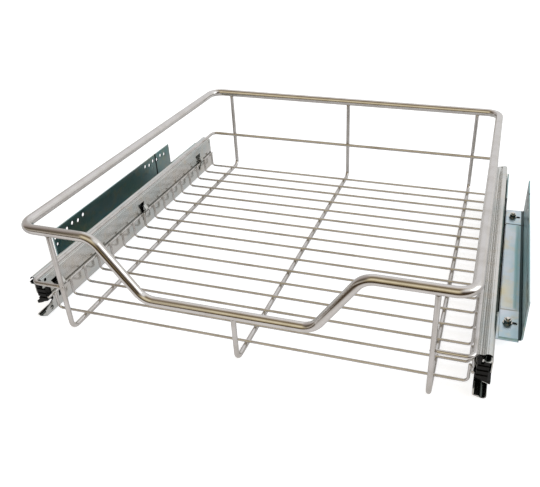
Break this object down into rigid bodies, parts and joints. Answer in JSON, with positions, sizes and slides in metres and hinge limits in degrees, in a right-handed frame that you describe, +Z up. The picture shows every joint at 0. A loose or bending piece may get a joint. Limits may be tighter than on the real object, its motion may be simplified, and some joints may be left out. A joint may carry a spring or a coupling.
{
  "type": "pull out cabinet basket",
  "caption": "Low wire basket with a lowered front on full extension ball runners, with slotted wall plates that screw to the sides of a kitchen cabinet.",
  "frame": {"origin": "under the middle of the basket, level with the underside of the bearer wires", "axes": "+X to the right across the cabinet, +Y to the back, +Z up; the basket pulls out along -Y"},
  "size_m": [0.564, 0.49, 0.132],
  "materials": {
    "plated_rim": "bright nickel plate",
    "plated_wire": "bright nickel plate",
    "runner_steel": "rolled zinc plate",
    "black_plastic": "moulded",
    "cage_steel": "plain rolled",
    "ball_steel": "polished",
    "bracket_steel": "zinc plate, blue passivated",
    "plate_steel": "zinc plate, blue passivated",
    "fastener_steel": "dark zinc plate"
  },
  "bodies": {
    "cabinet_side": {"cabinet_rail_left": "runner_steel", "runner_bracket_left": "bracket_steel", "rivets_left": "runner_steel", "bolt_front_left": "fastener_steel", "washer_front_left": "fastener_steel", "nut_front_left": "fastener_steel", "bolt_back_left": "fastener_steel", "washer_back_left": "fastener_steel", "nut_back_left": "fastener_steel", "cabinet_rail_right": "runner_steel", "runner_bracket_right": "bracket_steel", "rivets_right": "runner_steel", "bolt_front_right": "fastener_steel", "washer_front_right": "fastener_steel", "nut_front_right": "fastener_steel", "bolt_back_right": "fastener_steel", "washer_back_right": "fastener_steel", "nut_back_right": "fastener_steel"},
    "basket": {"rim_tube": "plated_rim", "bearer_left": "plated_wire", "bearer_centre": "plated_wire", "bearer_right": "plated_wire", "mid_rail": "plated_wire", "side_wire_left": "plated_wire", "side_wire_right": "plated_wire", "floor_wire_01": "plated_wire", "floor_wire_02": "plated_wire", "floor_wire_03": "plated_wire", "floor_wire_04": "plated_wire", "floor_wire_05": "plated_wire", "floor_wire_06": "plated_wire", "floor_wire_07": "plated_wire", "floor_wire_08": "plated_wire", "floor_wire_09": "plated_wire", "floor_wire_10": "plated_wire", "floor_wire_11": "plated_wire", "floor_wire_12": "plated_wire", "floor_wire_13": "plated_wire", "floor_wire_14": "plated_wire", "floor_wire_15": "plated_wire", "floor_wire_16": "plated_wire", "basket_rail_left": "runner_steel", "basket_rail_right": "runner_steel", "soft_close_left": "black_plastic", "soft_close_right": "black_plastic"},
    "middle_rail_left": {"middle_rail_left": "runner_steel"},
    "outer_cage_left": {"outer_cage_left": "cage_steel", "outer_balls_left": "ball_steel"},
    "inner_cage_left": {"inner_cage_left": "cage_steel", "inner_balls_left": "ball_steel"},
    "wall_plate_left": {"wall_plate_left": "plate_steel"},
    "middle_rail_right": {"middle_rail_right": "runner_steel"},
    "outer_cage_right": {"outer_cage_right": "cage_steel", "outer_balls_right": "ball_steel"},
    "inner_cage_right": {"inner_cage_right": "cage_steel", "inner_balls_right": "ball_steel"},
    "wall_plate_right": {"wall_plate_right": "plate_steel"}
  },
  "joints": [
    {"name": "basket_slide", "type": "slide", "parent": "cabinet_side", "child": "basket", "axis": [0, -1, 0], "range_m": [0, 0.44]},
    {"name": "middle_rail_slide_left", "type": "slide", "parent": "cabinet_side", "child": "middle_rail_left", "axis": [0, -1, 0], "range_m": [0, 0.22]},
    {"name": "outer_cage_slide_left", "type": "slide", "parent": "cabinet_side", "child": "outer_cage_left", "axis": [0, -1, 0], "range_m": [0, 0.33]},
    {"name": "inner_cage_slide_left", "type": "slide", "parent": "cabinet_side", "child": "inner_cage_left", "axis": [0, -1, 0], "range_m": [0, 0.11]},
    {"name": "middle_rail_slide_right", "type": "slide", "parent": "cabinet_side", "child": "middle_rail_right", "axis": [0, -1, 0], "range_m": [0, 0.22]},
    {"name": "outer_cage_slide_right", "type": "slide", "parent": "cabinet_side", "child": "outer_cage_right", "axis": [0, -1, 0], "range_m": [0, 0.33]},
    {"name": "inner_cage_slide_right", "type": "slide", "parent": "cabinet_side", "child": "inner_cage_right", "axis": [0, -1, 0], "range_m": [0, 0.11]},
    {"name": "width_adjust_left", "type": "slide", "parent": "cabinet_side", "child": "wall_plate_left", "axis": [-1, 0, 0], "range_m": [-0.003, 0.002]},
    {"name": "width_adjust_right", "type": "slide", "parent": "cabinet_side", "child": "wall_plate_right", "axis": [1, 0, 0], "range_m": [-0.003, 0.002]}
  ],
  "couplings": [
    {"joint": "middle_rail_slide_left", "follows": "basket_slide", "ratio": 0.5},
    {"joint": "outer_cage_slide_left", "follows": "basket_slide", "ratio": 0.75},
    {"joint": "inner_cage_slide_left", "follows": "basket_slide", "ratio": 0.25},
    {"joint": "middle_rail_slide_right", "follows": "basket_slide", "ratio": 0.5},
    {"joint": "outer_cage_slide_right", "follows": "basket_slide", "ratio": 0.75},
    {"joint": "inner_cage_slide_right", "follows": "basket_slide", "ratio": 0.25}
  ]
}
